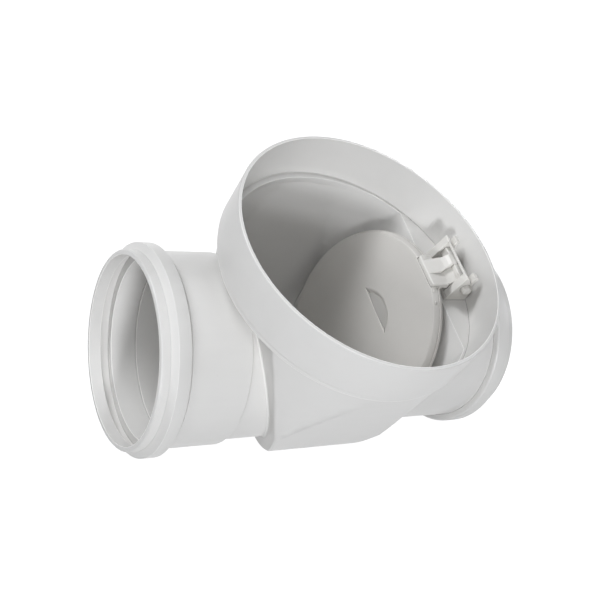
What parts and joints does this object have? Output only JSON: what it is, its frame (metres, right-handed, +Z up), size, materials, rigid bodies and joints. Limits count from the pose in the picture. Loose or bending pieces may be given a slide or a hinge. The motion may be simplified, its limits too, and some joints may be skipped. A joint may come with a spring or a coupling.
{
  "type": "backwater valve",
  "caption": "Backwater valve for a buried drain, with a hanging flap, beaded push-fit sockets and a round access port.",
  "frame": {"origin": "centre of the outlet socket's bore at its pipe stop", "axes": "+X runs upstream to the inlet, +Z up the access port, +Y across the flap's hinge"},
  "size_m": [0.356, 0.2498, 0.2521],
  "materials": {
    "body_pvc": "satin moulded light grey",
    "seat_pvc": "satin moulded light grey",
    "flap_plastic": "satin moulded warm grey",
    "hinge_plastic": "satin moulded off-white",
    "seal_rubber": "matt black",
    "screw_steel": "bright stainless"
  },
  "bodies": {
    "valve_body": {"chamber": "body_pvc", "port_ring": "body_pvc", "outlet_socket": "body_pvc", "seat_insert": "seat_pvc", "hinge_bracket": "hinge_plastic", "hinge_pin": "hinge_plastic", "pin_clip": "screw_steel"},
    "flap": {"flap_cover": "flap_plastic", "flap_back_plate": "flap_plastic", "flap_seal": "seal_rubber", "hinge_arm": "hinge_plastic", "arm_screws": "screw_steel"}
  },
  "joints": [
    {"name": "flap_hinge", "type": "hinge", "parent": "valve_body", "child": "flap", "pos_m": [0.238, 0, 0.128], "axis": [0, 1, 0], "range_deg": [0, 50]}
  ]
}
